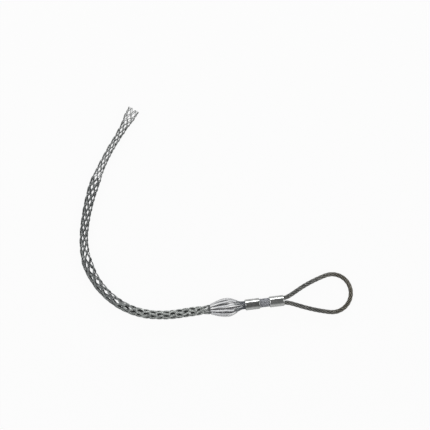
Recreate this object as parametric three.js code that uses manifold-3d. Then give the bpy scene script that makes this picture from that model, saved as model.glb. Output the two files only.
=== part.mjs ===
// Cable pulling grip: a flexible wire-rope eye, two pressed ferrules, twelve sleeved strand legs
// and a tapering mesh tube of single, double and triple weave. Millimetres, +Z up.
// It lies flat as it was laid down: the pull runs along +X and the mesh tail curls back to one side.
import * as THREE from "three";
import { mergeVertices } from "three/addons/utils/BufferGeometryUtils.js";
import Module from "manifold-3d";

const wasm = await Module();
wasm.setup();

// ---- sizes of the pulling end ----
const ROPE_D = 7; // eye rope
const ROPE_STRANDS = 6;
const ROPE_FLUTE = 0.55; // depth of the groove between two rope strands
const ROPE_LAY = 45; // length of one turn of the rope
const EYE_REACH = 109; // ferrule face to the rope's centre at the tip of the eye
const EYE_RADIUS = 30.4; // bend of the eye's round end
const EYE_SKEW = 1.8; // the eye leans this much to one side
const EYE_THROAT = 46; // how far the legs run before they join the bend's tangent
const EYE_SPREAD = 14; // degrees that the round end runs on past a half circle, at each side
const EYE_MOUTH = 0.6; // how much the legs part just outside the ferrule, on each side
const FERRULE_D = 16;
const FERRULE_L = 23.2;
const FERRULE_BEVEL = 1.1;
const FERRULE_SPACING = 16; // bare stretch between the two ferrules
const ROPE_SEAT = 15; // depth of the rope legs in the eye ferrule
const BINDING_D = 13.9; // bound strands between the ferrules
const BINDING_RIBS = 12;
const BINDING_RIB = 0.7; // depth of the grooves in the binding
const BINDING_TURN = 75; // degrees that the binding turns from end to end
const BINDING_SEAT = 5; // depth of the binding in each ferrule
const CORE_D = 8; // pressed rope ends inside the nose ferrule
const LEG_SEAT = 12; // depth of the strand legs in the nose ferrule

// ---- sizes of the mesh ----
const STRAND_D = 1.2;
const STRAND_GAP = 0.1; // between strands that run side by side
const PAIRS = 6; // right-hand legs round the mesh, and as many left-hand ones
const TRIPLE_LENGTH = 236;
const DOUBLE_LENGTH = 133;
const SINGLE_LENGTH = 130;
const TRIPLE_ROWS = 22; // rows of crossings in each stretch
const DOUBLE_ROWS = 16;
const SINGLE_ROWS = 18;
const EDGE_LIFT = 0.24; // a band's edge above the wall's middle, and its bore below, in mm
const BORE_DROP = 0.95;
const KNUCKLE_LIFT = 1.1; // turned-back strands stand out this much where a stretch begins

// ---- the sleeved bulge ----
const BULGE_D = 30.4;
const BULGE_AT = 28.5; // from the nose ferrule to the widest place
const BULGE_FRONT = 26; // the bulge falls to the ferrule over this length
const BULGE_BACK = 28.5; // and to the mesh over this one
const FRONT_HOLLOW = 2.2; // how hollow the fall is: 1 is a plain arch, 2 and over flares out at its foot
const BACK_HOLLOW = 1.2;
const MESH_START = 57; // from the nose ferrule to the first row of the weave
const SLEEVE_WALL = 0.35;

// ---- clearances ----
const FIT = 0.3; // between a ferrule's bore and what it grips, and between cut ends
const SLEEVE_FIT = 0.2; // round the strands inside a sleeve
const SLEEVE_SPACE = 0.2; // between neighbouring sleeves at their ends

// ---- how it lies ----
// The mesh's route in plan from the nose ferrule on: a length and the degrees it turns over it.
const ROUTE = [
  [36.2, 0],
  [69.7, 2.8],
  [44.3, -14.8],
  [152.8, -73.1],
  [41.1, -17.8],
  [149.9, -25.8],
  [89.2, 3.1],
];
// Outside radius of the mesh at places along that route.
const GIRTH = [
  [MESH_START, 7.6],
  [68, 6.4],
  [80, 7.4],
  [106, 7.2],
  [133, 6.9],
  [165, 7.3],
  [225, 7.6],
  [258, 8],
  [289, 8.8],
  [303, 7.7],
  [330, 6.8],
  [358, 7.1],
  [390, 7.7],
  [417, 8.4],
  [428, 8.1],
  [441, 6.5],
  [470, 5.7],
  [500, 5.6],
  [518, 6.3],
  [541, 8.7],
  [560, 8.7],
];
const SETTLE_AT = 118; // from here on the mesh rests on the floor

const rad = THREE.MathUtils.degToRad;
const BULGE_R = BULGE_D / 2;
const TOP = Math.PI / 2;
const HALF_STEP = Math.PI / PAIRS; // angle from one crossing to the next along a leg

const pieces = new THREE.Group();

function addPiece(name, geometry, color, roughness, metalness) {
  const material = new THREE.MeshStandardMaterial({ color, roughness, metalness });
  const mesh = new THREE.Mesh(geometry, material);
  mesh.name = name;
  pieces.add(mesh);
  return mesh;
}

// ---- the centre line ----
const alpha = (s, from, to) => THREE.MathUtils.clamp((s - from) / (to - from), 0, 1);

function girth(s) {
  const i = GIRTH.findIndex((g) => g[0] > s);
  if (i < 0) return GIRTH[GIRTH.length - 1][1];
  if (i === 0) return GIRTH[0][1];
  const t = THREE.MathUtils.smoothstep(s, GIRTH[i - 1][0], GIRTH[i][0]);
  return THREE.MathUtils.lerp(GIRTH[i - 1][1], GIRTH[i][1], t);
}

// Place in plan and heading, by arcs; before the route starts it is the straight shank.
function plan(s) {
  let x = 0;
  let y = 0;
  let heading = Math.PI;
  let left = s;
  for (const [i, [length, turn]] of ROUTE.entries()) {
    const last = i === ROUTE.length - 1;
    const run = last ? left : Math.min(left, length);
    const bend = rad(turn) * (run / length);
    const chord = bend === 0 ? run : (run * Math.sin(bend / 2)) / (bend / 2);
    x += chord * Math.cos(heading + bend / 2);
    y += chord * Math.sin(heading + bend / 2);
    heading += bend;
    left -= run;
    if (left <= 0) break;
  }
  return { x, y };
}

// The straight shank sinks from the bulge to the tip of the eye, where the rope lies on the floor.
const TIP_AT = -(FERRULE_L * 2 + FERRULE_SPACING + EYE_REACH);
const SHANK_SLOPE = (BULGE_R - ROPE_D / 2) / (BULGE_AT - TIP_AT);

function height(s) {
  if (s <= BULGE_AT) return BULGE_R + (s - BULGE_AT) * SHANK_SLOPE;
  if (s >= SETTLE_AT) return girth(s);
  const t = alpha(s, BULGE_AT, SETTLE_AT);
  const reach = SETTLE_AT - BULGE_AT;
  const start = BULGE_R * (2 * t ** 3 - 3 * t ** 2 + 1) + SHANK_SLOPE * reach * (t ** 3 - 2 * t ** 2 + t);
  return start + girth(SETTLE_AT) * (3 * t ** 2 - 2 * t ** 3);
}

function centre(s) {
  const p = plan(s);
  return new THREE.Vector3(p.x, p.y, height(s));
}

// The frame at a place on the centre line: along points at the mesh's mouth.
function frameAt(s) {
  const along = centre(s + 0.5).sub(centre(s - 0.5)).normalize();
  const side = new THREE.Vector3(0, 0, 1).cross(along).normalize();
  const up = new THREE.Vector3().crossVectors(along, side);
  return { point: centre(s), along, side, up };
}

function around(s, angle, radius) {
  const f = frameAt(s);
  return f.point
    .addScaledVector(f.side, radius * Math.cos(angle))
    .addScaledVector(f.up, radius * Math.sin(angle));
}

// ---- sweeping a section along a route ----
// The route gives a point for 0 to 1; the section keeps its first axis towards "outward" and turns with twist.
class LaidRoute extends THREE.Curve {
  constructor(pointAt, outwardAt, twist = 0) {
    super();
    this.pointAt = pointAt;
    this.outwardAt = outwardAt;
    this.twist = twist;
  }
  getPoint(t) {
    return this.pointAt(t);
  }
  getSpacedPoints(divisions) {
    return Array.from({ length: divisions + 1 }, (_, i) => this.pointAt(i / divisions));
  }
  computeFrenetFrames(segments) {
    const tangents = [];
    const normals = [];
    const binormals = [];
    for (let i = 0; i <= segments; i++) {
      const t = i / segments;
      const ahead = this.pointAt(Math.min(1, t + 1e-3));
      const tangent = ahead.sub(this.pointAt(Math.max(0, t - 1e-3))).normalize();
      const normal = this.outwardAt(t).projectOnPlane(tangent).normalize();
      normal.applyAxisAngle(tangent, this.twist * t);
      tangents.push(tangent);
      normals.push(normal);
      binormals.push(new THREE.Vector3().crossVectors(tangent, normal));
    }
    return { tangents, normals, binormals };
  }
}

function sweep(section, steps, route) {
  return new THREE.ExtrudeGeometry(section, { steps, bevelEnabled: false, extrudePath: route });
}

// A closed outline of 2n points that runs over n lobes.
function lobed(lobes, outer, inner) {
  const points = Array.from({ length: lobes * 2 }, (_, i) => {
    const r = i % 2 ? inner : outer;
    const a = (Math.PI * i) / lobes;
    return new THREE.Vector2(r * Math.cos(a), r * Math.sin(a));
  });
  return new THREE.Shape(points);
}

function ngon(sides, radius) {
  return Array.from({ length: sides }, (_, i) => {
    const a = (2 * Math.PI * i) / sides;
    return new THREE.Vector2(radius * Math.cos(a), radius * Math.sin(a));
  });
}

// ---- solids for cuts ----
function toSolid(geometry) {
  const bare = geometry.clone();
  bare.deleteAttribute("normal");
  bare.deleteAttribute("uv");
  const merged = mergeVertices(bare, 1e-4);
  const mesh = new wasm.Mesh({
    numProp: 3,
    vertProperties: new Float32Array(merged.attributes.position.array),
    triVerts: new Uint32Array(merged.index.array),
  });
  return new wasm.Manifold(mesh);
}

function toGeometry(solid) {
  const mesh = solid.getMesh();
  const geometry = new THREE.BufferGeometry();
  geometry.setAttribute("position", new THREE.BufferAttribute(new Float32Array(mesh.vertProperties), 3));
  geometry.setIndex(new THREE.BufferAttribute(new Uint32Array(mesh.triVerts), 1));
  geometry.computeVertexNormals();
  return geometry;
}

// ---- the shank: ferrules, binding, core and eye, along +X from the nose ferrule's rear face ----
const shank = new THREE.Group();
shank.position.copy(centre(0));
shank.rotation.y = Math.atan(SHANK_SLOPE);
pieces.add(shank);
const EYE_FERRULE_AT = FERRULE_L + FERRULE_SPACING;
const EYE_FACE_AT = EYE_FERRULE_AT + FERRULE_L;

function addShankPiece(name, geometry, color, roughness, metalness) {
  const mesh = addPiece(name, geometry, color, roughness, metalness);
  shank.add(mesh);
  return mesh;
}

// A ferrule body from its rear face to its front face, with bevelled ends.
function ferruleBody(sides) {
  const r = FERRULE_D / 2;
  const profile = [
    new THREE.Vector2(0, 0),
    new THREE.Vector2(r - FERRULE_BEVEL, 0),
    new THREE.Vector2(r, FERRULE_BEVEL),
    new THREE.Vector2(r, FERRULE_L - FERRULE_BEVEL),
    new THREE.Vector2(r - FERRULE_BEVEL, FERRULE_L),
    new THREE.Vector2(0, FERRULE_L),
  ];
  return new THREE.LatheGeometry(profile, sides).rotateZ(-TOP);
}

// A round plug along X.
function plug(radius, from, to, sides) {
  const length = to - from;
  return new THREE.CylinderGeometry(radius, radius, length, sides).rotateZ(-TOP).translate(from + length / 2, 0, 0);
}

// The bore for two ropes side by side: an outline with round ends, extruded along X.
function twinBore(from, to) {
  const r = ROPE_D / 2 + FIT;
  const offset = ROPE_D / 2 + FIT / 2;
  const outline = new THREE.Shape();
  outline.absarc(offset, 0, r, -TOP, TOP, false);
  outline.absarc(-offset, 0, r, TOP, TOP * 3, false);
  const cut = new THREE.ExtrudeGeometry(outline, { depth: to - from, bevelEnabled: false, curveSegments: 8 });
  return cut.rotateX(TOP).rotateZ(TOP).translate(from, 0, 0);
}

const LEG_R = STRAND_D * (0.5 + 1 / Math.sqrt(3)); // three strands bunched
const BINDING_R = BINDING_D / 2;
const bindingBore = BINDING_R + FIT;
const overrun = 1;

function noseFerrule() {
  const legBore = Math.max(LEG_RING + LEG_R + FIT, bindingBore);
  const cut = toSolid(plug(legBore, -overrun, FERRULE_L + overrun, 28));
  return toGeometry(toSolid(ferruleBody(28)).subtract(cut));
}

function eyeFerrule() {
  const body = toSolid(ferruleBody(28).translate(EYE_FERRULE_AT, 0, 0));
  const recess = plug(bindingBore, EYE_FERRULE_AT - overrun, EYE_FERRULE_AT + BINDING_SEAT + FIT, 28);
  const seat = twinBore(EYE_FACE_AT - ROPE_SEAT - FIT, EYE_FACE_AT + overrun);
  return toGeometry(body.subtract(toSolid(recess)).subtract(toSolid(seat)));
}

function binding() {
  const from = FERRULE_L - BINDING_SEAT;
  const to = EYE_FERRULE_AT + BINDING_SEAT;
  const route = new LaidRoute(
    (t) => new THREE.Vector3(from + (to - from) * t, 0, 0),
    () => new THREE.Vector3(0, 0, 1),
    rad(BINDING_TURN),
  );
  return sweep(lobed(BINDING_RIBS, BINDING_R, BINDING_R - BINDING_RIB), 7, route);
}

// Half of the eye's centre line, from a leg's end in the ferrule to the tip.
function eyeRoute() {
  const leg = ROPE_D / 2 + FIT / 2;
  const middle = new THREE.Vector3(EYE_FACE_AT + EYE_REACH - EYE_RADIUS, EYE_SKEW, 0);
  const path = new THREE.CurvePath();
  const joint = (side, spread) => {
    const a = side * (TOP + spread);
    return new THREE.Vector3(Math.cos(a), Math.sin(a), 0).multiplyScalar(EYE_RADIUS).add(middle);
  };
  const spread = rad(EYE_SPREAD);
  const legTo = (side) => {
    const mouth = new THREE.Vector3(EYE_FACE_AT, side * leg, 0);
    const end = joint(side, spread);
    const back = new THREE.Vector3(Math.cos(spread), side * Math.sin(spread), 0).multiplyScalar(EYE_THROAT);
    const out = mouth.clone().add(new THREE.Vector3(EYE_THROAT * 0.3, side * EYE_MOUTH, 0));
    return new THREE.CubicBezierCurve3(mouth, out, end.clone().sub(back), end);
  };
  const upper = legTo(1);
  const lower = legTo(-1);
  const seat = (side) => new THREE.Vector3(EYE_FACE_AT - ROPE_SEAT, side * leg, 0);
  path.add(new THREE.LineCurve3(seat(1), upper.v0));
  path.add(upper);
  const turn = TOP + spread;
  const quarter = (from, to) => {
    const flat = new THREE.EllipseCurve(middle.x, middle.y, EYE_RADIUS, EYE_RADIUS, from, to, from > to);
    const points = flat.getPoints(12).map((p) => new THREE.Vector3(p.x, p.y, 0));
    return new THREE.CatmullRomCurve3(points);
  };
  path.add(quarter(turn, -turn));
  path.add(new THREE.CubicBezierCurve3(lower.v3, lower.v2, lower.v1, lower.v0));
  path.add(new THREE.LineCurve3(lower.v0, seat(-1)));
  return path;
}

function eyeRope() {
  const path = eyeRoute();
  const length = path.getLength();
  const twist = (-2 * Math.PI * length) / ROPE_LAY;
  const route = new LaidRoute(
    (t) => path.getPointAt(t),
    () => new THREE.Vector3(0, 0, 1),
    twist,
  );
  const steps = Math.round((length / ROPE_LAY) * 8);
  return sweep(lobed(ROPE_STRANDS, ROPE_D / 2, ROPE_D / 2 - ROPE_FLUTE), steps, route);
}

// ---- the strand legs of the bulge and their sleeves ----
const LEGS = PAIRS * 2;
const LEG_STEP = (2 * Math.PI) / LEGS;
const sleeveSides = 8;
const SLEEVE_IN = (LEG_R + SLEEVE_FIT) / Math.cos(Math.PI / sleeveSides);
const SLEEVE_OUT = SLEEVE_IN + SLEEVE_WALL;
const LEG_RING = Math.max((LEG_R + FIT / 2) / Math.sin(LEG_STEP / 2), CORE_D / 2 + FIT + LEG_R);
const BULGE_RING = BULGE_R - SLEEVE_OUT;
const SLEEVE_RING = (SLEEVE_OUT + SLEEVE_SPACE / 2) / Math.sin(LEG_STEP / 2);

// Distance of a leg's centre from the axis: a smooth swell between the ferrule and the weave.
function legRadius(s) {
  const span = s < BULGE_AT ? BULGE_FRONT : BULGE_BACK;
  const share = THREE.MathUtils.clamp(Math.abs(s - BULGE_AT) / span, 0, 1);
  const base = s < BULGE_AT ? LEG_RING : girth(MESH_START) - STRAND_D;
  const hollow = s < BULGE_AT ? FRONT_HOLLOW : BACK_HOLLOW;
  return base + (BULGE_RING - base) * Math.max(0, Math.cos(share * TOP)) ** hollow;
}

// The place on one side of the bulge where all the sleeves just fit side by side.
function sleeveEnd(base, span, hollow) {
  const fall = ((SLEEVE_RING - base) / (BULGE_RING - base)) ** (1 / hollow);
  return (Math.acos(fall) / TOP) * span;
}
const SLEEVE_FRONT = BULGE_AT - sleeveEnd(LEG_RING, BULGE_FRONT, FRONT_HOLLOW);
const SLEEVE_BACK = BULGE_AT + sleeveEnd(girth(MESH_START) - STRAND_D, BULGE_BACK, BACK_HOLLOW);

const legAngle = (j) => TOP + LEG_STEP * (j + 0.5);

function legRoute(j, from, to, twist) {
  return new LaidRoute(
    (t) => around(from + (to - from) * t, legAngle(j), legRadius(from + (to - from) * t)),
    () => {
      const f = frameAt(BULGE_AT);
      return f.side.multiplyScalar(Math.cos(legAngle(j))).addScaledVector(f.up, Math.sin(legAngle(j)));
    },
    twist,
  );
}

function leg(j) {
  const route = legRoute(j, -LEG_SEAT, MESH_START - FIT * 2, rad(120));
  return sweep(lobed(3, LEG_R, LEG_R * 0.74), 11, route);
}

function sleeve(j) {
  const section = new THREE.Shape(ngon(sleeveSides, SLEEVE_OUT));
  section.holes.push(new THREE.Path(ngon(sleeveSides, SLEEVE_IN).reverse()));
  return sweep(section, 6, legRoute(j, SLEEVE_FRONT, SLEEVE_BACK, 0));
}

// ---- the weave ----
// Each stretch is a wall of crossing bands: every crossing is a diamond patch, over and under by turns,
// joined to the next row by four bands. Angles run round the tube and s runs to the mouth.
const stretches = [
  { name: "triple_weave_front", strands: 3, length: TRIPLE_LENGTH, rows: TRIPLE_ROWS },
  { name: "double_weave_middle", strands: 2, length: DOUBLE_LENGTH, rows: DOUBLE_ROWS },
  { name: "single_weave_tail", strands: 1, length: SINGLE_LENGTH, rows: SINGLE_ROWS },
];

const rows = [];
let reached = MESH_START;
stretches.forEach((stretch, part) => {
  const pitch = stretch.length / stretch.rows;
  stretch.first = rows.length;
  for (let i = 0; i < stretch.rows; i++) {
    const s = reached + pitch * (i + 0.5);
    const radius = girth(s) - STRAND_D;
    const lean = Math.atan((radius * HALF_STEP) / pitch);
    const band = stretch.strands * STRAND_D + (stretch.strands - 1) * STRAND_GAP;
    const half = band / 2 / Math.cos(lean);
    rows.push({
      s,
      radius,
      pitch,
      band,
      half,
      tall: half / Math.tan(lean),
      knuckle: i === stretch.rows - 1 && part < 2,
      righthandOver: rows.length % 2 === 0,
    });
  }
  stretch.last = rows.length - 1;
  reached += stretch.length;
});

// One crossing: corners and the middles of its four edges, each as place, angle, outer and inner radius.
function crossing(row, angle) {
  const turn = row.half / row.radius;
  const edge = row.radius + EDGE_LIFT;
  const bore = row.radius - BORE_DROP;
  const corner = (dx, dy, outer) => ({
    s: row.s + dy * row.tall,
    angle: angle + dx * turn,
    outer,
    bore,
  });
  const high = row.radius + STRAND_D;
  const low = row.radius + EDGE_LIFT / 2;
  const rightHand = row.righthandOver ? high : low;
  const leftHand = row.righthandOver ? low : high;
  const tip = row.knuckle ? row.radius + KNUCKLE_LIFT : edge;
  return {
    east: corner(1, 0, edge),
    north: corner(0, 1, tip),
    west: corner(-1, 0, edge),
    south: corner(0, -1, edge),
    northeast: corner(0.5, 0.5, rightHand),
    southwest: corner(-0.5, -0.5, rightHand),
    northwest: corner(-0.5, 0.5, leftHand),
    southeast: corner(0.5, -0.5, leftHand),
  };
}

const outerPoint = (c) => around(c.s, c.angle, c.outer);
const innerPoint = (c) => around(c.s, c.angle, c.bore);

// Collects triangles and turns them into one closed geometry.
class Wall {
  constructor() {
    this.points = [];
  }
  face(...corners) {
    for (let i = 1; i + 1 < corners.length; i++) {
      this.points.push(corners[0], corners[i], corners[i + 1]);
    }
  }
  // A band from section a to section b: a ridged outside, two edges and a plain bore.
  band(a, b) {
    const [al, am, ar] = a.map(outerPoint);
    const [bl, bm, br] = b.map(outerPoint);
    const [cl, , cr] = a.map(innerPoint);
    const [dl, , dr] = b.map(innerPoint);
    this.face(al, am, bm, bl);
    this.face(am, ar, br, bm);
    this.face(dl, dr, cr, cl);
    this.face(al, bl, dl, cl);
    this.face(br, ar, cr, dr);
  }
  // Closes a band's end that looks at the mouth, or with "back" the other way.
  cap(section, back) {
    const [l, m, r] = section.map(outerPoint);
    const [li, , ri] = section.map(innerPoint);
    if (back) this.face(ri, r, m, l, li);
    else this.face(ri, li, l, m, r);
  }
  patch(c, righthandOver) {
    const p = {};
    for (const key of Object.keys(c)) p[key] = outerPoint(c[key]);
    if (righthandOver) {
      this.face(p.northeast, p.north, p.northwest);
      this.face(p.northeast, p.northwest, p.southwest);
      this.face(p.northwest, p.west, p.southwest);
      this.face(p.southwest, p.south, p.southeast);
      this.face(p.southwest, p.southeast, p.northeast);
      this.face(p.southeast, p.east, p.northeast);
    } else {
      this.face(p.southeast, p.east, p.northeast);
      this.face(p.southeast, p.northeast, p.northwest);
      this.face(p.northeast, p.north, p.northwest);
      this.face(p.northwest, p.west, p.southwest);
      this.face(p.northwest, p.southwest, p.southeast);
      this.face(p.southwest, p.south, p.southeast);
    }
    this.face(...["east", "south", "west", "north"].map((key) => innerPoint(c[key])));
  }
  geometry() {
    const soup = new THREE.BufferGeometry().setFromPoints(this.points);
    const merged = mergeVertices(soup, 1e-3);
    merged.computeVertexNormals();
    return merged;
  }
}

// The four edges of a crossing as band sections, left to right when seen from outside.
const edges = {
  upRight: (c) => [c.north, c.northeast, c.east],
  upLeft: (c) => [c.west, c.northwest, c.north],
  fromLeft: (c) => [c.west, c.southwest, c.south],
  fromRight: (c) => [c.south, c.southeast, c.east],
};

// The section halfway between two sections, moved along the tube by a shift in mm.
function halfway(a, b, shift) {
  return a.map((from, i) => {
    const share = 0.5 + shift / (b[i].s - from.s);
    const mixed = {};
    for (const key of Object.keys(from)) mixed[key] = THREE.MathUtils.lerp(from[key], b[i][key], share);
    return mixed;
  });
}

// The flat section in which a leg of the bulge meets the weave.
function legSection(row, angle) {
  const radius = girth(MESH_START) - STRAND_D;
  const turn = row.band / 2 / radius;
  return [-1, 0, 1].map((side) => ({
    s: MESH_START,
    angle: angle + side * turn,
    outer: side ? radius + EDGE_LIFT : radius + STRAND_D / 2,
    bore: radius - BORE_DROP,
  }));
}

function weave({ first, last }) {
  const wall = new Wall();
  for (let k = first; k <= last; k++) {
    const row = rows[k];
    for (let i = 0; i < PAIRS; i++) {
      const angle = TOP + HALF_STEP * (2 * i + (k % 2));
      const here = crossing(row, angle);
      wall.patch(here, row.righthandOver);
      const next = rows[k + 1];
      const ends = [
        [edges.upRight(here), next && edges.fromLeft(crossing(next, angle + HALF_STEP))],
        [edges.upLeft(here), next && edges.fromRight(crossing(next, angle - HALF_STEP))],
      ];
      for (const [a, b] of ends) {
        if (!b) wall.cap(a, false);
        else if (k < last) wall.band(a, b);
        else {
          const cut = halfway(a, b, -FIT / 2);
          wall.band(a, cut);
          wall.cap(cut, false);
        }
      }
      if (k > first) continue;
      const before = rows[k - 1];
      const starts = [
        [before && edges.upRight(crossing(before, angle - HALF_STEP)), edges.fromLeft(here), -0.5],
        [before && edges.upLeft(crossing(before, angle + HALF_STEP)), edges.fromRight(here), 0.5],
      ];
      for (const [a, b, turn] of starts) {
        const cut = a ? halfway(a, b, FIT / 2) : legSection(row, angle + turn * HALF_STEP);
        wall.band(cut, b);
        wall.cap(cut, true);
      }
    }
  }
  return wall.geometry();
}

// ---- assembly ----
const number = (j) => String(j + 1).padStart(2, "0");

addShankPiece("eye_rope", eyeRope(), 0x5f5d57, 0.5, 0.75);
addShankPiece("eye_ferrule", eyeFerrule(), 0xc9cbc8, 0.2, 1);
addShankPiece("strand_binding", binding(), 0x8a8b9a, 0.5, 0.7);
addShankPiece("nose_ferrule", noseFerrule(), 0xc9cbc8, 0.22, 1);
const corePlug = plug(CORE_D / 2, 0.5, FERRULE_L - BINDING_SEAT - FIT, 16);
addShankPiece("rope_end_core", corePlug, 0x5f5d57, 0.5, 0.75);
for (let j = 0; j < LEGS; j++) {
  addPiece("strand_leg_" + number(j), leg(j), 0x59626b, 0.45, 0.8);
}
for (let j = 0; j < LEGS; j++) {
  addPiece("clear_sleeve_" + number(j), sleeve(j), 0xe6e8ea, 0.25, 0);
}
for (const stretch of stretches) {
  addPiece(stretch.name, weave(stretch), 0x8f958f, 0.4, 0.85);
}

// The part's origin is the middle of its footprint, on the floor.
const assembly = new THREE.Group();
assembly.add(pieces);
const box = new THREE.Box3().setFromObject(assembly, true);
const middle = box.getCenter(new THREE.Vector3());
pieces.position.set(-middle.x, -middle.y, -box.min.z);

export default assembly;
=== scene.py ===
import math

import bpy
import numpy as np
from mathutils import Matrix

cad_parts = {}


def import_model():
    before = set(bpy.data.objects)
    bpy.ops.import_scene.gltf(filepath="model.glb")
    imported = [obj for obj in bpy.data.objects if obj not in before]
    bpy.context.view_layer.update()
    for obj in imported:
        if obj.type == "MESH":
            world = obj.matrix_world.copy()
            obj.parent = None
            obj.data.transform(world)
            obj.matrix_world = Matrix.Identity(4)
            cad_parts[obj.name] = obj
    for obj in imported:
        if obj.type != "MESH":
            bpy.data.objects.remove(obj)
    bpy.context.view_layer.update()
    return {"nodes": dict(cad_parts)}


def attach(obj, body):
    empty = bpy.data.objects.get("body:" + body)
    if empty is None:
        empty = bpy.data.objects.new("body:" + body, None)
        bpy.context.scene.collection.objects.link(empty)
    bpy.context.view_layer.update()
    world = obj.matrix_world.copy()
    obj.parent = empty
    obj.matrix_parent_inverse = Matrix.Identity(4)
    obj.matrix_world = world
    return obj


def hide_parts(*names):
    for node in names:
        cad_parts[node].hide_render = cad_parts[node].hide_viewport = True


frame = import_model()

MM = 0.001
rng = np.random.default_rng(7)

# ---- sizes in millimetres, as in the CAD ----
ROPE_D = 7.0
ROPE_LAY = 45.0
EYE_REACH = 109.0
EYE_RADIUS = 30.4
EYE_SKEW = 1.8
EYE_THROAT = 46.0
EYE_MOUTH = 0.6
EYE_SPREAD = math.radians(14)
FERRULE_L = 23.2
FERRULE_BEVEL = 1.1
FERRULE_SPACING = 16.0
BINDING_D = 13.9
LEG_SEAT = 12.0
FIT = 0.3
STRAND_D = 1.2
PAIRS = 6
STRETCHES = [(236.0, 22), (133.0, 16), (130.0, 18)]  # length and rows of crossings
BULGE_R = 15.2
BULGE_AT = 28.5
BULGE_FRONT = 26.0
BULGE_BACK = 28.5
FRONT_HOLLOW = 2.2
BACK_HOLLOW = 1.2
MESH_START = 57.0
SETTLE_AT = 118.0
SLEEVE_IN = 1.56
SLEEVE_OUT = 1.92
BULGE_RING = 13.23
LEG_RING = 5.6
# The mesh's middle line, as pairs of a length and the degrees that it turns over that length.
ROUTE = [
    (36.2, 0), (69.7, 2.8), (44.3, -14.8), (152.8, -73.1),
    (41.1, -17.8), (149.9, -25.8), (89.2, 3.1),
]
# The mesh's radius, as pairs of a place along the middle line and the radius there.
GIRTH = np.array([
    (MESH_START, 7.6), (68, 6.4), (80, 7.4), (106, 7.2), (133, 6.9), (165, 7.3), (225, 7.6),
    (258, 8.0), (289, 8.8), (303, 7.7), (330, 6.8), (358, 7.1), (390, 7.7), (417, 8.4),
    (428, 8.1), (441, 6.5), (470, 5.7), (500, 5.6), (518, 6.3), (541, 8.7), (560, 8.7),
])
SHIFT = np.array([38.9912, -151.7144, 0.0902])  # from the nose ferrule's rear face to the frame

# ---- sizes in millimetres that are the scene's own ----
FERRULE_D = 17.4  # 16 in the CAD, but the photo shows the ferrules a little wider
FERRULE_SIDES = 96
FERRULE_WAIST = 0.06  # how far the body lies under the rounded bevels
FERRULE_DISH = 0.35  # how deep each face is dished, and how wide the rim round the dish is
FERRULE_RIM = 2.3
RIDGE_PITCH = 1.5
RIDGE_HEIGHT = 0.0225
RIDGE_MARGIN = 4
ROPE_STRANDS = 6
ROPE_STRAND_R = 1.19
ROPE_CORE_R = 1.25
ROPE_WIRE_LAY = 19.0
ROPE_STEP = 0.9
BINDING_STRANDS = 12
BINDING_WIRE_D = 1.15
BINDING_LAY = 34.0
BINDING_LINE = 0.72  # how far inside the binding's radius its wires' middle lies
BINDING_WAVE = 0.42
BINDING_TUCK = 3  # how far the binding runs into each ferrule
WIRE_R = 0.55
STRAND_LAY = 9.5
STRAND_STEP = 1.0
STRAND_INSET = 1.0  # how far inside the mesh's radius the bands' middle lies
LEG_LAY = 52.0  # how long the three ends of a leg take to go once round each other
BUNCHED_WITHIN = 7.0  # how soon three ends side by side become a round bunch
NECK = (13, 19)  # between these the bunch is pressed wide, towards the nose
SLEEVE_SPAN = (13.2, 54.5)
SLEEVE_SIDES = 20
SLEEVE_RINGS = 40
SLEEVE_TAPER = (44, 54)  # between these the sleeves narrow by a tenth
PARTED_BY, PARTING_WIDTH = 0.2, 0.26  # in radians round the middle line
PARTING_STARTS, PARTING_ENDS = (3, 13), (20, 32)
FRONT_ENDS = [4.5, 1.0, -1.5, 0.5, 2.0, -1.0, 0.0, 1.5, -2.0, 0.5, 3.0, 6.0]  # cut unevenly

# ---- how the weave lies: places along the middle line between which a change comes in ----
ROLL = math.radians(20)
ROLL_IN = (MESH_START, MESH_START + 12)
ROLL_BACK = math.radians(5)
ROLL_BACK_IN = (170, 230)
OPENS, CLOSES = (110, 160), (400, 460)
OPENED = 0.1
BEND_STARTS, BEND_ENDS = (140, 200), (270, 330)
OPENED_IN_BEND = 0.5
SKEWED_IN_BEND = 0.2
SLIP_STARTS, SLIP_ENDS = (165, 225), (515, 550)
MOUTH_FLARE = 0.9
MOUTH_OPENS = (528, 552)
START_SPREAD = 1.5  # the bands are wider apart where they leave the sleeves
SPREAD_SETTLES = (MESH_START + 4, MESH_START + 30)
WAVE_SQUARENESS = 1.7  # how sharply a strand changes from over to under
POINTS_A_ROW = 12
DRIFT_ALONG_BAND = (14, 0.012)  # points from one random value to the next, and size in radians
DRIFT_OUTWARD = (10, 0.05)  # the same, with the size in millimetres

# ---- angles and places that follow from the sizes ----
TOP = math.pi / 2
STEP = math.pi / PAIRS
EYE_FERRULE_AT = FERRULE_L + FERRULE_SPACING
EYE_FACE_AT = EYE_FERRULE_AT + FERRULE_L
TIP_AT = -(EYE_FACE_AT + EYE_REACH)
SLOPE = (BULGE_R - ROPE_D / 2) / (BULGE_AT - TIP_AT)


def ease(x):
    """A smooth step from 0 to 1."""
    x = np.clip(x, 0, 1)
    return x * x * (3 - 2 * x)


def rise(s, start, end):
    """0 before the place start, 1 after the place end, and smooth between them."""
    return ease((s - start) / (end - start))


# ---- the middle line of the mesh, as in the CAD ----
def girth(s):
    """The mesh's radius at a place."""
    s = np.asarray(s, float)
    i = np.clip(np.searchsorted(GIRTH[:, 0], s, side="right") - 1, 0, len(GIRTH) - 2)
    a, b = GIRTH[i], GIRTH[i + 1]
    return a[..., 1] + (b[..., 1] - a[..., 1]) * rise(s, a[..., 0], b[..., 0])


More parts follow.
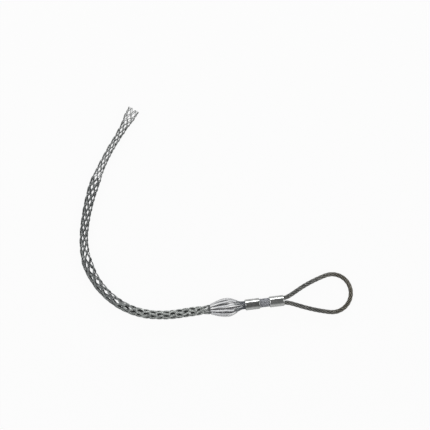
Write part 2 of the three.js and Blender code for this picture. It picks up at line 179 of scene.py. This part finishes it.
def plan(s):
    """The route seen from above. Its first and last stretch run on past their ends."""
    s = np.asarray(s, float)
    x, y = np.zeros_like(s), np.zeros_like(s)
    at, heading, px, py = 0.0, math.pi, 0.0, 0.0
    for n, (length, turn) in enumerate(ROUTE):
        bend = math.radians(turn)
        inside = s >= at if n else np.ones_like(s, bool)
        run = s - at if n in (0, len(ROUTE) - 1) else np.minimum(s - at, length)
        angle = bend * run / length
        chord = run * np.sinc(angle / 2 / math.pi)
        x = np.where(inside, px + chord * np.cos(heading + angle / 2), x)
        y = np.where(inside, py + chord * np.sin(heading + angle / 2), y)
        chord = length * np.sinc(bend / 2 / math.pi)
        px += chord * math.cos(heading + bend / 2)
        py += chord * math.sin(heading + bend / 2)
        heading += bend
        at += length
    return x, y


def height(s):
    """The shank slopes up to the bulge, and the mesh comes down to lie on the floor."""
    s = np.asarray(s, float)
    reach = SETTLE_AT - BULGE_AT
    t = np.clip((s - BULGE_AT) / reach, 0, 1)
    down = BULGE_R * (2 * t**3 - 3 * t**2 + 1) + SLOPE * reach * (t**3 - 2 * t**2 + t)
    down = down + girth(SETTLE_AT) * (3 * t**2 - 2 * t**3)
    shank = BULGE_R + (s - BULGE_AT) * SLOPE
    return np.where(s <= BULGE_AT, shank, np.where(s >= SETTLE_AT, girth(s), down))


def centre(s):
    x, y = plan(s)
    return np.stack([x, y, height(s)], -1) + SHIFT


def unit(v):
    return v / np.linalg.norm(v, axis=-1, keepdims=True)


def around(s, angle, radius):
    """Points at an angle and a distance round the middle line at s."""
    along = unit(centre(s + 0.5) - centre(s - 0.5))
    side = unit(np.cross([0.0, 0.0, 1.0], along))
    up = np.cross(along, side)
    radius, angle = np.asarray(radius)[..., None], np.asarray(angle)[..., None]
    return centre(s) + radius * (np.cos(angle) * side + np.sin(angle) * up)


def on_shank(points):
    """From shank coordinates, with X from the nose ferrule's rear face to the eye, to the frame."""
    tilt = math.atan(SLOPE)
    p = np.asarray(points, float)
    x = p[..., 0] * math.cos(tilt) + p[..., 2] * math.sin(tilt)
    z = -p[..., 0] * math.sin(tilt) + p[..., 2] * math.cos(tilt)
    return np.stack([x, p[..., 1], z], -1) + centre(0.0)


# ---- meshes ----
def distances(path):
    """How far along the path each of its points is."""
    return np.concatenate([[0], np.cumsum(np.linalg.norm(np.diff(path, axis=0), axis=1))])


def resample(path, step):
    """The same path with points a step apart."""
    at = distances(path)
    count = max(2, int(round(at[-1] / step)) + 1)
    want = np.linspace(0, at[-1], count)
    return np.stack([np.interp(want, at, path[:, k]) for k in range(3)], -1)


def smooth(path, rounds):
    for _ in range(rounds):
        path[1:-1] = (path[:-2] + 2 * path[1:-1] + path[2:]) / 4
    return path


def carried_frames(path):
    """Two directions across the path at each point, carried along it without turning."""
    tangent = unit(np.gradient(path, axis=0))
    first = np.cross(tangent[0], [0.0, 0.0, 1.0])
    if np.linalg.norm(first) < 0.1:
        first = np.cross(tangent[0], [0.0, 1.0, 0.0])
    normals = [unit(first)]
    for t in tangent[1:]:
        n = normals[-1]
        normals.append(unit(n - t * np.dot(n, t)))
    normals = np.array(normals)
    return normals, np.cross(tangent, normals)


def tube(path, section, lay=0.0):
    """A closed tube. Its section is radii at even angles, which turn once round in each lay."""
    normal, binormal = carried_frames(path)
    sides, rings = len(section), len(path)
    angle = np.arange(sides) * 2 * math.pi / sides
    if lay:
        angle = angle + (distances(path) * (2 * math.pi / lay))[:, None]
    else:
        angle = np.tile(angle, (rings, 1))
    ring = (section * np.cos(angle))[..., None] * normal[:, None]
    points = path[:, None] + ring + (section * np.sin(angle))[..., None] * binormal[:, None]
    row = np.arange(rings - 1)[:, None] * sides
    a = (row + np.arange(sides)).ravel()
    b = (row + (np.arange(sides) + 1) % sides).ravel()
    faces = np.stack([a, b, b + sides, a + sides], -1).tolist()
    faces.append(list(range(sides))[::-1])
    faces.append(list(range((rings - 1) * sides, rings * sides)))
    return points.reshape(-1, 3), faces


def lobes(count, radius, depth):
    """Radii round a section with round wires showing at its edge."""
    return np.where(np.arange(count * 2) % 2 == 0, radius, radius - depth)


def joined(parts):
    points, faces, offset = [], [], 0
    for p, f in parts:
        points.append(p)
        faces.extend([[i + offset for i in face] for face in f])
        offset += len(p)
    return np.concatenate(points), faces


def piece(name, points, faces, material, nodes):
    """A smooth-shaded piece from points in millimetres, in place of the named solids."""
    mesh = bpy.data.meshes.new(name)
    mesh.from_pydata((np.asarray(points) * MM).tolist(), [], faces)
    mesh.validate()
    mesh.polygons.foreach_set("use_smooth", [True] * len(mesh.polygons))
    mesh.materials.append(material)
    obj = bpy.data.objects.new(name, mesh)
    bpy.context.scene.collection.objects.link(obj)
    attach(obj, "root")
    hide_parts(*nodes)
    return obj


def paint(obj, name, values):
    """Gives each vertex a number that the material reads by name."""
    layer = obj.data.attributes.new(name, "FLOAT", "POINT")
    layer.data.foreach_set("value", np.ravel(values))


# ---- materials ----
class Value:
    """A socket that adds, subtracts and multiplies."""

    def __init__(self, nodes, socket):
        self.nodes, self.socket = nodes, socket

    def math(self, operation, other=None, reverse=False):
        a, b = (other, self) if reverse else (self, other)
        values = {0: a} if other is None else {0: a, 1: b}
        return self.nodes.node("ShaderNodeMath", {"operation": operation}, values)

    def __add__(self, o): return self.math("ADD", o)
    def __radd__(self, o): return self.math("ADD", o, True)
    def __sub__(self, o): return self.math("SUBTRACT", o)
    def __rsub__(self, o): return self.math("SUBTRACT", o, True)
    def __mul__(self, o): return self.math("MULTIPLY", o)
    def __rmul__(self, o): return self.math("MULTIPLY", o, True)


class Nodes:
    """One tree of nodes, and the ways to add to it."""

    def __init__(self, tree):
        self.tree = tree

    def node(self, kind, settings=None, values=None, output=0):
        made = self.tree.nodes.new(kind)
        for key, value in (settings or {}).items():
            setattr(made, key, value)
        for key, value in (values or {}).items():
            self.feed(made.inputs[key], value)
        return Value(self, made.outputs[output])

    def feed(self, socket, value):
        if isinstance(value, Value):
            self.tree.links.new(value.socket, socket)
        else:
            socket.default_value = value

    def ray(self, kind):
        """1 where the surface is met by this kind of ray, for the floor and the world alone."""
        return self.node("ShaderNodeLightPath", output="Is %s Ray" % kind)

    def ramp(self, value, low, high, to_low=0.0, to_high=1.0):
        values = {"Value": value, "From Min": low, "From Max": high,
                  "To Min": to_low, "To Max": to_high}
        return self.node("ShaderNodeMapRange", None, values)


class Shader(Nodes):
    """A material on the principled surface. Places in it are metres in the frame."""

    def __init__(self, name):
        self.material = bpy.data.materials.new(name)
        self.material.use_nodes = True
        super().__init__(self.material.node_tree)
        self.surface = self.tree.nodes["Principled BSDF"]

    def set(self, **values):
        for key, value in values.items():
            self.feed(self.surface.inputs[key.replace("_", " ").title()], value)
        return self

    def place(self):
        return self.node("ShaderNodeTexCoord", output="Object")

    def east(self):
        return self.node("ShaderNodeSeparateXYZ", None, {0: self.place()}, "X")

    def north(self):
        return self.node("ShaderNodeSeparateXYZ", None, {0: self.place()}, "Y")

    def painted(self, name):
        return self.node("ShaderNodeAttribute", {"attribute_name": name}, output="Fac")

    def noise(self, scale, detail=3.0):
        values = {"Vector": self.place(), "Scale": scale, "Detail": detail}
        return self.node("ShaderNodeTexNoise", None, values)

    def mix(self, factor, a, b):
        a, b = ((*c, 1) if isinstance(c, tuple) else c for c in (a, b))
        return self.node("ShaderNodeMix", {"data_type": "RGBA"}, {0: factor, 6: a, 7: b}, 2)

    def bump(self, relief, strength, distance):
        values = {"Height": relief, "Strength": strength, "Distance": distance}
        return self.node("ShaderNodeBump", None, values)

    def wire(self, colour, metallic, patches, roughness, grain, depth):
        """Drawn wire: patches of duller metal and a fine grain."""
        dull = self.ramp(self.noise(patches), 0.3, 0.7, *roughness)
        fine = self.bump(self.noise(grain, 2.0), depth, 0.0002)
        self.set(base_color=colour, metallic=metallic, roughness=dull, normal=fine)
        return self.material


def strand_wire():
    """Galvanised strand: patchy zinc, darker in the places that the photo shows in shade."""
    m = Shader("galvanised strand")
    east = m.east()
    zinc = m.ramp(m.noise(260.0), 0.35, 0.65)
    colour = m.mix(zinc, (0.33, 0.346, 0.335), (0.63, 0.658, 0.635))
    # painted shade on the outside of the bend, to the west
    shade_outside_bend = m.ramp(east, -0.13, -0.17)
    colour = m.mix(shade_outside_bend * 0.55, colour, (0.1, 0.11, 0.12))
    # painted shade towards the open mouth
    tail = m.ramp(m.north(), 0.12, 0.15)
    colour = m.mix(tail * 0.35, colour, (0.12, 0.13, 0.14))
    # painted shade on the sides that face into the mesh and where a band passes under another
    inward_shade = m.ramp(m.painted("inward_shade"), 0.4, 0.75, 0.0, 0.85)
    colour = m.mix(inward_shade, colour, (0.05, 0.055, 0.055))
    # painted shade on the strands under the sleeves
    shade_under_sleeves = m.ramp(east, 0.012, 0.034)
    colour = m.mix(shade_under_sleeves, colour, (0.17, 0.18, 0.2))
    # partly tarnish, partly painted shade, in the packed ring where the weave starts
    packed_ring_shade = m.ramp(east, -0.023, -0.0185) * m.ramp(east, -0.011, -0.0145)
    colour = m.mix(packed_ring_shade * 0.75, colour, (0.1, 0.105, 0.11))
    return m.wire(colour, 0.55, 700.0, (0.3, 0.5), 2400.0, 0.25)


def rope_wire():
    """Duller, oiled steel, brown towards the eye's far end, with painted shade between the strands.
    """
    m = Shader("eye rope wire")
    grime = m.ramp(m.noise(160.0), 0.35, 0.7)
    colour = m.mix(grime, (0.15, 0.15, 0.142), (0.36, 0.36, 0.342))
    far = m.ramp(m.east(), 0.15, 0.21)
    colour = m.mix(far * 0.6, colour, (0.19, 0.165, 0.115))
    # painted shade: the deeper a point lies between the strands, the darker it is
    between = m.ramp(m.painted("depth"), 0.02, 0.2)
    colour = m.mix(between, colour, (0.02, 0.02, 0.018))
    return m.wire(colour, 0.7, 500.0, (0.3, 0.48), 2600.0, 0.3)


def binding_wire():
    """Bluish, matt strand between the ferrules."""
    m = Shader("binding strand")
    tone = m.ramp(m.noise(420.0), 0.38, 0.62)
    colour = m.mix(tone, (0.28, 0.285, 0.31), (0.55, 0.56, 0.6))
    return m.wire(colour, 0.6, 800.0, (0.4, 0.6), 2400.0, 0.25)


def ferrule_metal(marked):
    """Bright pressed metal with faint drawing lines, and a patch of tick marks if marked."""
    m = Shader("ferrule metal marked" if marked else "ferrule metal")
    tone = m.ramp(m.noise(90.0), 0.35, 0.65)
    colour = m.mix(tone, (0.62, 0.64, 0.62), (0.78, 0.79, 0.78))
    drawn_out = {"Vector": m.place(), "Scale": (60.0, 1400.0, 1400.0)}
    lines = m.node("ShaderNodeMapping", None, drawn_out)
    drawn = m.node("ShaderNodeTexNoise", None, {"Vector": lines, "Scale": 1.0, "Detail": 2.0})
    if marked:
        tick_pitch = 0.0021
        north = m.north()
        tick = (m.east() * (2 * math.pi / tick_pitch)).math("SINE")
        jaw = m.ramp(north, -0.1493, -0.1508) * m.ramp(north, -0.1572, -0.1557)
        colour = m.mix(m.ramp(tick, -0.2, 0.6) * jaw * 0.65, colour, (0.1, 0.1, 0.1))
    m.set(base_color=colour, metallic=1.0, roughness=m.ramp(drawn, 0.3, 0.7, 0.1, 0.18))
    return m.set(normal=m.bump(drawn, 0.03, 0.0001)).material


def clear_plastic():
    """Milky clear tube in soft streaks, with painted shade that leaves it white on top and greyer
    down its flanks.
    """
    m = Shader("clear sleeve plastic")
    streak = m.ramp(m.noise(120.0), 0.35, 0.65)
    # painted shade: greyer, and a little more opaque, where the sleeve turns from the sky and the
    # outside
    down = m.ramp(m.painted("flank_shade"), 0.1, 0.6)
    pale = m.mix(streak, (0.78, 0.79, 0.81), (0.98, 0.98, 0.98))
    colour = m.mix(down, pale, (0.12, 0.125, 0.14))
    alpha = 0.84 + (streak - 0.5) * 0.16 + down * 0.08
    m.set(base_color=colour, roughness=m.ramp(m.noise(300.0), 0.3, 0.7, 0.12, 0.26))
    return m.set(alpha=alpha, normal=m.bump(streak, 0.15, 0.0004)).material


STRAND = strand_wire()
ROPE = rope_wire()
METAL = ferrule_metal(marked=False)
METAL_MARKED = ferrule_metal(marked=True)
BINDING = binding_wire()
CLEAR = clear_plastic()


# ---- rows of the weave ----
def rows():
    """The place of each row of crossings, and the distance from one to the next."""
    places, pitches, reached = [], [], MESH_START
    for length, count in STRETCHES:
        pitch = length / count
        places += [reached + pitch * (i + 0.5) for i in range(count)]
        pitches += [pitch] * count
        reached += length
    return np.array(places), np.array(pitches)


ROW_S, ROW_PITCH = rows()
ROW_NUMBERS = np.arange(len(ROW_S))
LAST_ROW = np.cumsum([count for _, count in STRETCHES]) - 1

# Which place across the band a strand takes in each stretch, by the stretch where it turns back.
SLOTS = [(-1.0,), (0.0, -0.5), (1.0, 0.5, 0.0)]
TURN_SLOT = [-1.05, -1.1, -1.5]
SLOT_PITCH = 0.85  # millimetres from one strand of a band to the next


def place_of(row):
    """The place of a row number, whole or not."""
    return np.interp(row, ROW_NUMBERS, ROW_S) + np.where(row < 0, row * ROW_PITCH[0], 0)


def slot_at(kind, row):
    """A strand's place across its band, which changes just after the last row of a stretch."""
    slots = SLOTS[kind]
    value = np.full_like(row, slots[0])
    for n in range(1, len(slots)):
        step = ease((row - LAST_ROW[n - 1] - 0.1) / 0.8)
        value += (slots[n] - slots[n - 1]) * step
    turn = ease((row - LAST_ROW[kind] + 0.9) / 0.9)
    return value + (TURN_SLOT[kind] - value) * turn


def leg_radius(s):
    """How far the legs are from the middle line in the bulge."""
    front = s < BULGE_AT
    share = np.clip(np.abs(s - BULGE_AT) / np.where(front, BULGE_FRONT, BULGE_BACK), 0, 1)
    base = np.where(front, LEG_RING, girth(MESH_START) - STRAND_D)
    hollow = np.where(front, FRONT_HOLLOW, BACK_HOLLOW)
    return base + (BULGE_RING - base) * np.maximum(np.cos(share * TOP), 0) ** hollow


def gathered(s, angle):
    """Towards the nose the sleeves part into two bundles, with a gap on top."""
    off = np.mod(angle - TOP + math.pi, 2 * math.pi) - math.pi
    push = PARTED_BY * np.tanh(off / PARTING_WIDTH) * np.cos(off / 2) ** 2
    return angle + push * rise(s, *PARTING_STARTS) * (1 - rise(s, *PARTING_ENDS))


def settled(s, angle):
    """Where a place and an angle of the straight weave come to lie.

    It is rolled a little, open inside the bend and closed outside, and its far side slips a row.
    """
    bend = rise(s, *BEND_STARTS) * (1 - rise(s, *BEND_ENDS))
    opened = OPENED * rise(s, *OPENS) * (1 - rise(s, *CLOSES)) + OPENED_IN_BEND * bend
    angle = angle + ROLL * rise(s, *ROLL_IN) - ROLL_BACK * rise(s, *ROLL_BACK_IN)
    angle = angle - opened * np.sin(angle) + SKEWED_IN_BEND * bend * np.sin(2 * angle)
    slip = np.interp(s, ROW_S, ROW_PITCH) * rise(s, *SLIP_STARTS) * (1 - rise(s, *SLIP_ENDS))
    return s + slip * (1 - np.sin(angle)) / 2, angle


def wander(count, spacing, size):
    """A slow random drift along a strand, with a new value each time that many points pass."""
    knots = rng.normal(0, size, max(4, int(count / spacing)) + 2)
    return np.interp(np.linspace(0, len(knots) - 1, count), np.arange(len(knots)), knots)


def woven_leg(kind, hand, index):
    """From the turn-back to the mesh's start: place, angle, radius and how far it lies under."""
    last = LAST_ROW[kind]
    row = np.linspace(last, -0.5, int((last + 0.5) * POINTS_A_ROW))
    s = place_of(row)
    radius = girth(s) - STRAND_INSET + MOUTH_FLARE * rise(s, *MOUTH_OPENS)
    lean = np.arctan(radius * STEP / np.interp(row, ROW_NUMBERS, ROW_PITCH))
    spread = START_SPREAD + (1 - START_SPREAD) * rise(s, *SPREAD_SETTLES)
    side = slot_at(kind, row) * SLOT_PITCH * spread / np.cos(lean) / radius
    side = side + wander(len(row), *DRIFT_ALONG_BAND)
    over = hand * np.tanh(WAVE_SQUARENESS * np.cos(math.pi * row)) / math.tanh(WAVE_SQUARENESS)
    angle = TOP + STEP * (2 * index + hand * row) + hand * side
    radius = radius + STRAND_D / 2 * over + wander(len(row), *DRIFT_OUTWARD)
    return s, angle, radius, ease(0.6 - 0.7 * over)


def bulge_leg(kind, hand, index):
    """From the mesh's start to the nose ferrule, as one of the three ends in a leg's sleeve."""
    s = np.linspace(MESH_START, -LEG_SEAT, 60)[1:]
    ring = leg_radius(s)
    packed = STRAND_D / math.sqrt(3)
    gone = MESH_START - s
    bunch = ease(gone / BUNCHED_WITHIN)
    spin = kind * 2 * math.pi / 3 + gone / LEG_LAY * 2 * math.pi + index
    flat = hand * SLOTS[kind][0] * SLOT_PITCH * START_SPREAD
    neck = 1 - rise(s, *NECK)
    across = flat * (1 - bunch) + packed * np.cos(spin) * bunch * (1 + 0.5 * neck)
    out = packed * np.sin(spin) * bunch * (1 - 0.3 * neck)
    angle = TOP + STEP * (2 * index - hand * 0.5)
    return s, gathered(s, angle + across / ring), ring + out, 0 * s


def strand_leg(kind, hand, index):
    """One half of a strand, from its turn-back down to the nose ferrule."""
    halves = zip(woven_leg(kind, hand, index), bulge_leg(kind, hand, index))
    return [np.concatenate(half) for half in halves]


def strand_path(kind, index):
    """A whole strand: up one leg, round its turn-back and down the other."""
    up = [v[::-1] for v in strand_leg(kind, 1, index)]
    down = strand_leg(kind, -1, index + LAST_ROW[kind])
    turn = np.linspace(math.pi, 0, 14)[1:-1]
    middle = (up[1][-1] + down[1][0]) / 2
    half = (down[1][0] - up[1][-1]) / 2
    reach = half * up[2][-1] * 1.5
    # a turn-back stands out on top, except at the mouth
    knuckle = 0.1 if kind == 2 else 0.6 + 0.6 * math.sin(middle)
    share = (1 + np.cos(turn)) / 2
    round_turn = (
        up[0][-1] + reach * np.sin(turn),
        middle + half * np.cos(turn),
        up[2][-1] + (down[2][0] - up[2][-1]) * share + knuckle * np.sin(turn),
        0 * turn,
    )
    s, angle, radius, under = (np.concatenate(v) for v in zip(up, round_turn, down))
    s_lies, angle = settled(s, angle)
    radius = radius + np.where(s > MESH_START, girth(s_lies) - girth(s), 0)
    path = around(s_lies, angle, radius)
    path[:, 2] += MOUTH_FLARE * rise(s_lies, *MOUTH_OPENS)
    return path, s_lies, under


KINDS = ("front_strand", "middle_strand", "tail_strand")
CARRIERS = ("triple_weave_front", "double_weave_middle", "single_weave_tail")
STRAND_SECTION = lobes(6, WIRE_R, depth=0.08)


def mesh_strand(kind, index):
    raw, s_along, under = strand_path(kind, index)
    path = resample(smooth(resample(raw, 0.5), 3), STRAND_STEP)
    points, faces = tube(path, STRAND_SECTION, STRAND_LAY)
    nodes = [CARRIERS[kind]]
    if kind == 0:
        legs = [(2 * index - 1) % 12, (2 * (index + LAST_ROW[0])) % 12]
        nodes += ["strand_leg_%02d" % (leg + 1) for leg in legs]
    name = "%s_%d" % (KINDS[kind], index + 1)
    made = piece(name, points, faces, STRAND, nodes)
    # how far each vertex looks in at the mesh's middle line, or lies under another band, as painted
    # shade
    at = distances(raw)
    want = np.linspace(0, at[-1], len(path))
    outward = unit(path - centre(np.interp(want, at, s_along)))
    spokes = unit(points.reshape(len(path), -1, 3) - path[:, None])
    inward_shade = (1 - np.sum(spokes * outward[:, None], -1)) / 2
    paint(made, "inward_shade", inward_shade + 0.5 * np.interp(want, at, under)[:, None])


for kind in range(len(KINDS)):
    for index in range(PAIRS):
        mesh_strand(kind, index)


# ---- the sleeves ----
def sleeve(j):
    """A tube with an open bore, and how far each vertex turns from the sky and the outside, which
    the material paints as shade.
    """
    front = SLEEVE_SPAN[0] + FRONT_ENDS[j]
    back = SLEEVE_SPAN[1] + 0.6 * math.sin(2.3 * j)
    s = np.linspace(front, back, SLEEVE_RINGS)
    angle = gathered(s, TOP + STEP * (j + 0.5))
    path = around(s, angle, leg_radius(s))
    out = unit(around(s, angle, leg_radius(s) + 1) - path)
    across = np.cross(unit(np.gradient(path, axis=0)), out)
    turn = np.arange(SLEEVE_SIDES) * 2 * math.pi / SLEEVE_SIDES
    cosine, sine = np.cos(turn)[None, :, None], np.sin(turn)[None, :, None]
    spoke = cosine * out[:, None] + sine * across[:, None]
    taper = 1 - 0.1 * rise(s, *SLEEVE_TAPER)

    def skin(radius):
        return (path[:, None] + (radius * taper)[:, None, None] * spoke).reshape(-1, 3)

    faces = []
    inner = SLEEVE_RINGS * SLEEVE_SIDES
    end = inner - SLEEVE_SIDES
    for k in range(SLEEVE_SIDES):
        n = (k + 1) % SLEEVE_SIDES
        faces.append([k, inner + k, inner + n, n])
        faces.append([end + k, end + n, inner + end + n, inner + end + k])
        for a in range(0, end, SLEEVE_SIDES):
            c = a + SLEEVE_SIDES
            faces.append([a + k, a + n, c + n, c + k])
            faces.append([inner + a + k, inner + c + k, inner + c + n, inner + a + n])
    # painted shade: the less a vertex faces the sky and the outside, the greyer the sleeve is there
    lit = 0.75 * np.maximum(spoke[..., 2], 0) + 0.3 * np.maximum(np.cos(turn), 0)[None]
    flank_shade = np.tile(1 - np.minimum(lit, 1).ravel(), 2)
    return np.concatenate([skin(SLEEVE_OUT), skin(SLEEVE_IN)]), faces, flank_shade


for j in range(PAIRS * 2):
    points, faces, flank_shade = sleeve(j)
    node = "clear_sleeve_%02d" % (j + 1)
    name = "plastic_sleeve_%02d" % (j + 1)
    made = piece(name, points, faces, CLEAR, [node])
    paint(made, "flank_shade", flank_shade)


# ---- ferrules ----
def turned(profile, at):
    """A solid of revolution along the shank from pairs of a place and a radius."""
    angle = np.arange(FERRULE_SIDES) * 2 * math.pi / FERRULE_SIDES
    points = [(at + x, r * math.cos(a), r * math.sin(a)) for x, r in profile for a in angle]
    end = (len(profile) - 1) * FERRULE_SIDES
    faces = []
    for i in range(0, end, FERRULE_SIDES):
        for k in range(FERRULE_SIDES):
            a, b = i + k, i + (k + 1) % FERRULE_SIDES
            faces.append([b, a, a + FERRULE_SIDES, b + FERRULE_SIDES])
    faces.append(list(range(FERRULE_SIDES)))
    faces.append(list(range(end, end + FERRULE_SIDES))[::-1])
    return on_shank(np.array(points)), faces


def ferrule_profile(ridged):
    """A shallow dish in each face, a rounded bevel, and press ridges round the body if ridged."""
    r, b = FERRULE_D / 2, FERRULE_BEVEL
    rim = r - FERRULE_RIM
    face = [(FERRULE_DISH, rim - 0.1), (0.0, rim + 0.1), (0.0, r - b - 0.1)]
    corner = np.linspace(0, math.pi / 2, 6)
    face += [(b - b * math.cos(a), r - b + b * math.sin(a)) for a in corner]
    body = []
    for x in np.linspace(b, FERRULE_L - b, 40)[1:-1]:
        ridge = 0.0
        if ridged and RIDGE_MARGIN < x < FERRULE_L - RIDGE_MARGIN:
            ridge = RIDGE_HEIGHT * math.sin(x * 2 * math.pi / RIDGE_PITCH)
        body.append((x, r - FERRULE_WAIST + ridge))
    return face + body + [(FERRULE_L - x, y) for x, y in face][::-1]


points, faces = turned(ferrule_profile(ridged=True), 0.0)
piece("nose_ferrule_shell", points, faces, METAL_MARKED, ["nose_ferrule"])
points, faces = turned(ferrule_profile(ridged=False), EYE_FERRULE_AT)
piece("eye_ferrule_shell", points, faces, METAL, ["eye_ferrule"])


# ---- the binding between the ferrules ----
def binding():
    """Two crossing sets of strands round a plain core."""
    radius = BINDING_D / 2 - BINDING_LINE
    x = np.linspace(FERRULE_L - BINDING_TUCK, EYE_FERRULE_AT + BINDING_TUCK, 60)
    turned_by = (x - x[0]) * (2 * math.pi / BINDING_LAY)
    section = lobes(5, BINDING_WIRE_D / 2, depth=0.07)
    parts = []
    for hand in (1, -1):
        phase = turned_by * BINDING_STRANDS + (0 if hand > 0 else math.pi)
        r = radius + BINDING_WAVE * np.cos(phase)
        for i in range(BINDING_STRANDS):
            angle = i * 2 * math.pi / BINDING_STRANDS + hand * turned_by
            line = np.stack([x, r * np.cos(angle), r * np.sin(angle)], -1)
            parts.append(tube(resample(on_shank(line), 0.8), section, lay=7))
    core = on_shank(np.stack([x, 0 * x, 0 * x], -1))
    parts.append(tube(core, np.full(32, radius - 0.4)))
    return joined(parts)


points, faces = binding()
piece("strand_binding_cover", points, faces, BINDING, ["strand_binding"])


# ---- the eye ----
def bezier(p0, p1, p2, p3, count):
    t = np.linspace(0, 1, count)[:, None]
    u = 1 - t
    return u**3 * p0 + 3 * u**2 * t * p1 + 3 * u * t**2 * p2 + t**3 * p3


def eye_line():
    """The rope's middle line: a leg out of the ferrule, the round of the eye, and a leg back."""
    middle = np.array([EYE_FACE_AT + EYE_REACH - EYE_RADIUS, EYE_SKEW, 0.0])

    def leg_curve(side):
        y = side * (ROPE_D / 2 + FIT / 2)
        a = side * (TOP + EYE_SPREAD)
        end = middle + EYE_RADIUS * np.array([math.cos(a), math.sin(a), 0.0])
        mouth = np.array([EYE_FACE_AT, y, 0.0])
        out = mouth + [EYE_THROAT * 0.3, side * EYE_MOUTH, 0.0]
        back = EYE_THROAT * np.array([math.cos(EYE_SPREAD), side * math.sin(EYE_SPREAD), 0.0])
        seat = np.array([EYE_FACE_AT - 6.0, y, 0.0])
        return np.concatenate([[seat], bezier(mouth, out, end - back, end, 60)])

    turn = np.linspace(TOP + EYE_SPREAD, -TOP - EYE_SPREAD, 90)[1:-1]
    bend = middle + EYE_RADIUS * np.stack([np.cos(turn), np.sin(turn), 0 * turn], -1)
    return np.concatenate([leg_curve(1), bend, leg_curve(-1)[::-1]])


def eye_rope():
    """Six strands laid round a core, and how deep each vertex lies in the rope."""
    line = resample(smooth(resample(on_shank(eye_line()), 0.6), 12), ROPE_STEP)
    normal, binormal = carried_frames(line)
    turned_by = np.arange(len(line)) * ROPE_STEP * 2 * math.pi / ROPE_LAY
    ring = ROPE_D / 2 - ROPE_STRAND_R
    section = lobes(9, ROPE_STRAND_R, depth=0.13)
    parts = []
    for i in range(ROPE_STRANDS):
        angle = (i * 2 * math.pi / ROPE_STRANDS + turned_by)[:, None]
        path = line + ring * (np.cos(angle) * normal + np.sin(angle) * binormal)
        parts.append(tube(path, section, -ROPE_WIRE_LAY))
    parts.append(tube(line, np.full(8, ROPE_CORE_R)))
    depth = []
    for points, _ in parts:
        off = np.linalg.norm(points.reshape(len(line), -1, 3) - line[:, None], axis=-1)
        depth.append(1 - off.ravel() / (ROPE_D / 2))
    return *joined(parts), np.concatenate(depth)


points, faces, depth = eye_rope()
made = piece("wire_rope_eye", points, faces, ROPE, ["eye_rope"])
paint(made, "depth", depth)
frame["nodes"]["rope_end_core"].data.materials.clear()
frame["nodes"]["rope_end_core"].data.materials.append(ROPE)


# ---- floor, light and camera, in metres ----
TURN = math.radians(-6.756)  # the camera's turn about the vertical
TARGET = np.array([0.05, -0.08, 0.01])  # where the lamps look
FLOOR_Z = -0.0003


def floor():
    """White paper to the camera, and grey in the metal's reflections and the shadows."""
    bpy.ops.mesh.primitive_plane_add(size=8, location=(0, 0, FLOOR_Z))
    plane = bpy.context.object
    plane.name = "floor"
    m = Shader("floor paper")
    m.set(base_color=(0.6, 0.6, 0.6, 1), roughness=0.9)
    seen = m.ray("Camera").math("MAXIMUM", m.ray("Transmission"))
    white = m.node("ShaderNodeEmission", None, {"Color": (1, 1, 1, 1), "Strength": 1.0})
    grey = Value(m, m.surface.outputs[0])
    paper = m.node("ShaderNodeMixShader", None, {0: seen * 0.94, 1: grey, 2: white})
    m.feed(m.tree.nodes["Material Output"].inputs["Surface"], paper)
    plane.data.materials.append(m.material)


def world():
    """A dim ceiling over a brighter horizon, white to the camera."""
    made = bpy.data.worlds.new("studio")
    bpy.context.scene.world = made
    made.use_nodes = True
    sky = Nodes(made.node_tree)
    coordinates = sky.node("ShaderNodeTexCoord", output="Generated")
    up = sky.node("ShaderNodeSeparateXYZ", None, {0: coordinates}, "Z")
    glow = sky.ramp(up, 0.2, 0.8, 0.55, 0.14)
    strength = sky.node("ShaderNodeMix", None, {0: sky.ray("Camera"), 2: glow, 3: 1.0})
    background = sky.tree.nodes["Background"]
    sky.feed(background.inputs["Color"], (1, 1, 1, 1))
    sky.feed(background.inputs["Strength"], strength)


def lamp(name, bearing, elevation, distance, size, watts):
    """A soft box that looks at the object. The bearing is counted from the picture's right."""
    data = bpy.data.lights.new(name, "AREA")
    data.shape = "RECTANGLE"
    data.size, data.size_y = size
    data.energy = watts
    obj = bpy.data.objects.new(name, data)
    a, e = math.radians(bearing) + TURN, math.radians(elevation)
    away = np.array([math.cos(e) * math.cos(a), math.cos(e) * math.sin(a), math.sin(e)])
    obj.location = TARGET + distance * away
    obj.rotation_euler = (TOP - e, 0, a + TOP)
    bpy.context.scene.collection.objects.link(obj)


def camera():
    """Straight down, with the long lens that the photo's even scale shows."""
    data = bpy.data.cameras.new("camera")
    data.lens = 85
    data.sensor_width = 36
    obj = bpy.data.objects.new("camera", data)
    obj.location = (0.00813, -0.00334, 1.633)
    obj.rotation_euler = (0, 0, TURN)
    bpy.context.scene.collection.objects.link(obj)
    bpy.context.scene.camera = obj


floor()
world()
lamp("key softbox", bearing=90, elevation=21, distance=1.6, size=(1.8, 0.28), watts=10)
lamp("left softbox", bearing=180, elevation=48, distance=1.75, size=(1.2, 1.2), watts=12)
lamp("right softbox", bearing=0, elevation=48, distance=1.75, size=(1.2, 1.2), watts=12)
camera()
bpy.context.scene.view_settings.view_transform = "Standard"
